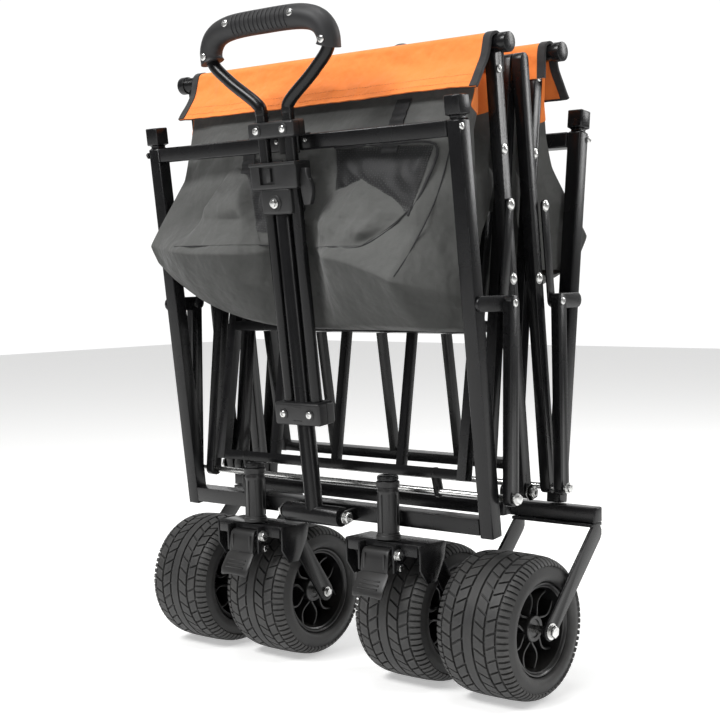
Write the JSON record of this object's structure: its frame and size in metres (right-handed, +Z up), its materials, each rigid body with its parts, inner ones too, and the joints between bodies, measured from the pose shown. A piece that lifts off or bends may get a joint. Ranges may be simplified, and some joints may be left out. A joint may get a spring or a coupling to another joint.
{
  "type": "folding beach cart",
  "caption": "Collapsible wagon shown folded: scissor side frames, folding floor grille, canvas bag, wide wheels, braked front casters and a telescoping pull handle.",
  "frame": {"origin": "on the floor, under the middle of the folded cart's bounding box", "axes": "+Z up, +X to the cart's right as seen by someone facing the handle from the front, front (handle side) towards -Y"},
  "size_m": [0.6086, 0.3424, 0.8133],
  "materials": {
    "powder_coat": "gloss black powder coat",
    "zinc": "bright zinc",
    "black_plastic": "fine moulded",
    "rim_plastic": "semi-gloss moulded",
    "tyre": "matte moulded tread",
    "grip": "soft textured grip",
    "canvas": "coated grey canvas"
  },
  "bodies": {
    "centre_support": {"centre_support": "powder_coat"},
    "front_hoop": {"front_hoop_bar_left": "powder_coat", "front_hoop_bar_right": "powder_coat", "front_top_rod": "powder_coat"},
    "rear_hoop": {"rear_hoop_bar_left": "powder_coat", "rear_hoop_bar_right": "powder_coat", "rear_top_rod": "powder_coat"},
    "front_cross": {"front_cross_bar_left": "powder_coat", "front_cross_bar_right": "powder_coat"},
    "rear_cross": {"rear_cross_bar_left": "powder_coat", "rear_cross_bar_right": "powder_coat"},
    "front_links": {"front_link_left": "powder_coat", "front_link_right": "powder_coat"},
    "rear_links": {"rear_link_left": "powder_coat", "rear_link_right": "powder_coat"},
    "front_frame": {"front_post_left": "powder_coat", "front_post_right": "powder_coat", "front_upper_rail": "powder_coat", "front_base_rail": "powder_coat", "front_strut_left": "powder_coat", "front_strut_right": "powder_coat", "front_hinge_rod": "zinc", "handle_clip": "black_plastic"},
    "rear_frame": {"rear_post_left": "powder_coat", "rear_post_right": "powder_coat", "rear_upper_rail": "powder_coat", "rear_base_rail": "powder_coat", "rear_strut_left": "powder_coat", "rear_strut_right": "powder_coat", "rear_hinge_rod": "zinc", "rear_fork_left": "powder_coat", "rear_fork_right": "powder_coat", "rear_axle_left": "zinc", "rear_axle_right": "zinc"},
    "floor_front": {"front_floor_grille": "powder_coat"},
    "floor_rear": {"rear_floor_grille": "powder_coat"},
    "bag_front": {"bag_front": "canvas"},
    "bag_rear": {"bag_rear": "canvas"},
    "handle_base": {"handle_core_tube": "powder_coat", "lock_body": "black_plastic"},
    "handle_slide": {"handle_tube": "powder_coat", "handle_grip": "grip", "upper_clamp": "black_plastic", "lower_clamp": "black_plastic"},
    "lock_lever": {"lock_lever": "black_plastic"},
    "rear_wheel_left": {"rear_tyre_left": "tyre", "rear_rim_left": "rim_plastic"},
    "caster_left": {"caster_fork_left": "powder_coat", "caster_axle_left": "zinc"},
    "caster_wheel_left": {"caster_tyre_left": "tyre", "caster_rim_left": "rim_plastic"},
    "brake_left": {"brake_pedal_left": "black_plastic"},
    "rear_wheel_right": {"rear_tyre_right": "tyre", "rear_rim_right": "rim_plastic"},
    "caster_right": {"caster_fork_right": "powder_coat", "caster_axle_right": "zinc"},
    "caster_wheel_right": {"caster_tyre_right": "tyre", "caster_rim_right": "rim_plastic"},
    "brake_right": {"brake_pedal_right": "black_plastic"}
  },
  "joints": [
    {"name": "fold", "type": "hinge", "parent": "centre_support", "child": "front_hoop", "pos_m": [0, 0.0144, 0.24], "axis": [1, 0, 0], "range_deg": [0, 37.47]},
    {"name": "rear_hoop_turn", "type": "hinge", "parent": "centre_support", "child": "rear_hoop", "pos_m": [0, 0.0144, 0.24], "axis": [1, 0, 0], "range_deg": [-37.47, 0]},
    {"name": "front_cross_turn", "type": "hinge", "parent": "front_hoop", "child": "front_cross", "pos_m": [0, -0.0125, 0.49257], "axis": [1, 0, 0], "range_deg": [-74.94, 0]},
    {"name": "rear_cross_turn", "type": "hinge", "parent": "rear_hoop", "child": "rear_cross", "pos_m": [0, 0.04129, 0.49257], "axis": [1, 0, 0], "range_deg": [0, 74.94]},
    {"name": "front_frame_turn", "type": "hinge", "parent": "front_cross", "child": "front_frame", "pos_m": [0, -0.03939, 0.24], "axis": [1, 0, 0], "range_deg": [0, 37.47]},
    {"name": "rear_frame_turn", "type": "hinge", "parent": "rear_cross", "child": "rear_frame", "pos_m": [0, 0.06818, 0.24], "axis": [1, 0, 0], "range_deg": [-37.47, 0]},
    {"name": "front_link_turn", "type": "hinge", "parent": "front_frame", "child": "front_links", "pos_m": [0, -0.03532, 0.465], "axis": [1, 0, 0], "range_deg": [-72.26, 0]},
    {"name": "rear_link_turn", "type": "hinge", "parent": "rear_frame", "child": "rear_links", "pos_m": [0, 0.06411, 0.465], "axis": [1, 0, 0], "range_deg": [0, 72.26]},
    {"name": "front_floor_turn", "type": "hinge", "parent": "front_frame", "child": "floor_front", "pos_m": [0, -0.03939, 0.24], "axis": [1, 0, 0], "range_deg": [-81.16, 0]},
    {"name": "floor_centre_hinge", "type": "hinge", "parent": "floor_front", "child": "floor_rear", "pos_m": [0, 0.0144, 0.58584], "axis": [1, 0, 0], "range_deg": [0, 162.32]},
    {"name": "bag_front_travel", "type": "slide", "parent": "centre_support", "child": "bag_front", "axis": [0, -0.9077, -0.4197], "range_m": [0, 0.32635]},
    {"name": "bag_rear_travel", "type": "slide", "parent": "bag_front", "child": "bag_rear", "axis": [0, 1, 0], "range_m": [0, 0.59244]},
    {"name": "handle_fold", "type": "hinge", "parent": "front_frame", "child": "handle_base", "pos_m": [0, -0.087, 0.205], "axis": [1, 0, 0], "range_deg": [0, 95]},
    {"name": "handle_extend", "type": "slide", "parent": "handle_base", "child": "handle_slide", "axis": [0, -0.1167, 0.9932], "range_m": [0, 0.227]},
    {"name": "lock_lever_turn", "type": "hinge", "parent": "handle_base", "child": "lock_lever", "pos_m": [0.0376, -0.14395, 0.60408], "axis": [0, 0.1167, -0.9932], "range_deg": [0, 75]},
    {"name": "swivel_left", "type": "hinge", "parent": "front_frame", "child": "caster_left", "pos_m": [-0.1109, -0.07863, 0.1845], "axis": [0, 0, 1], "range_deg": [-22, 6]},
    {"name": "caster_roll_left", "type": "hinge", "parent": "caster_left", "child": "caster_wheel_left", "pos_m": [-0.1109, -0.00763, 0.086], "axis": [1, 0, 0], "continuous": true},
    {"name": "brake_press_left", "type": "hinge", "parent": "caster_left", "child": "brake_left", "pos_m": [-0.1109, -0.09663, 0.1705], "axis": [1, 0, 0], "range_deg": [0, 20]},
    {"name": "rear_roll_left", "type": "hinge", "parent": "rear_frame", "child": "rear_wheel_left", "pos_m": [-0.2435, -0.0176, 0.086], "axis": [1, 0, 0], "continuous": true},
    {"name": "swivel_right", "type": "hinge", "parent": "front_frame", "child": "caster_right", "pos_m": [0.1109, -0.07863, 0.1845], "axis": [0, 0, 1], "range_deg": [-6, 22]},
    {"name": "caster_roll_right", "type": "hinge", "parent": "caster_right", "child": "caster_wheel_right", "pos_m": [0.1109, -0.00763, 0.086], "axis": [1, 0, 0], "continuous": true},
    {"name": "brake_press_right", "type": "hinge", "parent": "caster_right", "child": "brake_right", "pos_m": [0.1109, -0.09663, 0.1705], "axis": [1, 0, 0], "range_deg": [0, 20]},
    {"name": "rear_roll_right", "type": "hinge", "parent": "rear_frame", "child": "rear_wheel_right", "pos_m": [0.2435, -0.0176, 0.086], "axis": [1, 0, 0], "continuous": true}
  ],
  "couplings": [
    {"joint": "rear_hoop_turn", "follows": "fold", "ratio": -1},
    {"joint": "front_cross_turn", "follows": "fold", "ratio": -2},
    {"joint": "rear_cross_turn", "follows": "fold", "ratio": 2},
    {"joint": "front_frame_turn", "follows": "fold", "ratio": 1},
    {"joint": "rear_frame_turn", "follows": "fold", "ratio": -1},
    {"joint": "front_link_turn", "follows": "fold", "ratio": -1.9285},
    {"joint": "rear_link_turn", "follows": "fold", "ratio": 1.9285},
    {"joint": "front_floor_turn", "follows": "fold", "ratio": -2.1659},
    {"joint": "floor_centre_hinge", "follows": "fold", "ratio": 4.3318},
    {"joint": "bag_front_travel", "follows": "fold", "m_per_rad": 0.499},
    {"joint": "bag_rear_travel", "follows": "fold", "m_per_rad": 0.90585}
  ]
}
